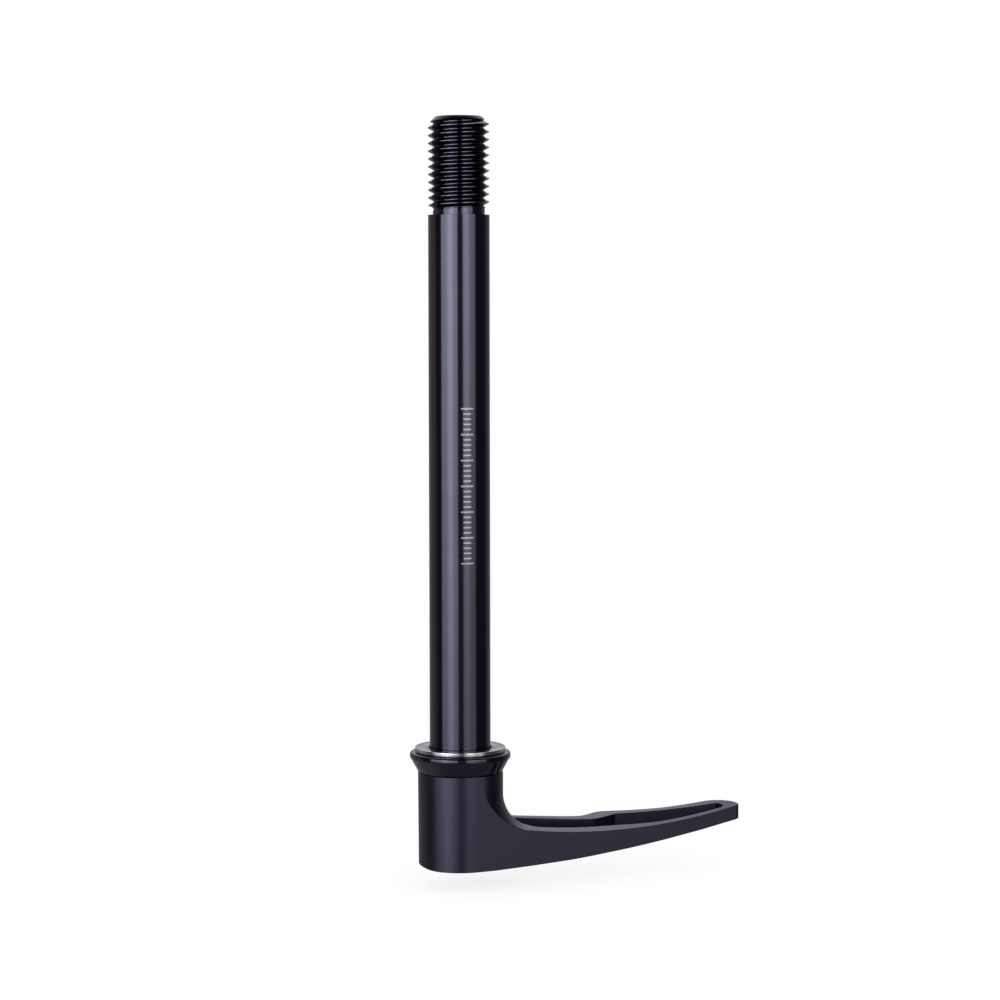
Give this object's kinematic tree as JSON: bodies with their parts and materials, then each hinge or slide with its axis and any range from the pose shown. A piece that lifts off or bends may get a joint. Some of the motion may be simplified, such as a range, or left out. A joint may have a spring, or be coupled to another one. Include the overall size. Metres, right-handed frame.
{
  "type": "thru axle",
  "caption": "Bicycle thru axle: slim threaded shaft with a loose seat washer, a conical flange and a looped hand lever that pulls out against a spring to set its angle.",
  "frame": {"origin": "on the axle's axis, in the seat face of the washer", "axes": "+Z along the shaft to the threaded tip, +X along the lever's arm"},
  "size_m": [0.0688, 0.0198, 0.1467],
  "materials": {
    "axle": "black anodised, satin gloss",
    "seat_washer": "bare, turned",
    "lever": "black anodised, fine bead blast",
    "slip_washer": "bare",
    "return_spring": "bright drawn wire",
    "retainer": "zinc plated",
    "retaining_screw": "black oxide"
  },
  "bodies": {
    "axle": {"axle": "axle", "seat_washer": "seat_washer", "retainer": "retainer", "retaining_screw": "retaining_screw", "return_spring": "return_spring"},
    "slip_ring": {"slip_washer": "slip_washer"},
    "lever": {"lever": "lever"}
  },
  "joints": [
    {"name": "lever_pull", "type": "slide", "parent": "axle", "child": "slip_ring", "axis": [0, 0, -1], "range_m": [0, 0.004], "stiffness_N_per_m": 1200, "springref_m": -0.003, "deforming": ["return_spring"]},
    {"name": "lever_turn", "type": "hinge", "parent": "slip_ring", "child": "lever", "pos_m": [0, 0, 0], "axis": [0, 0, 1], "continuous": true}
  ]
}
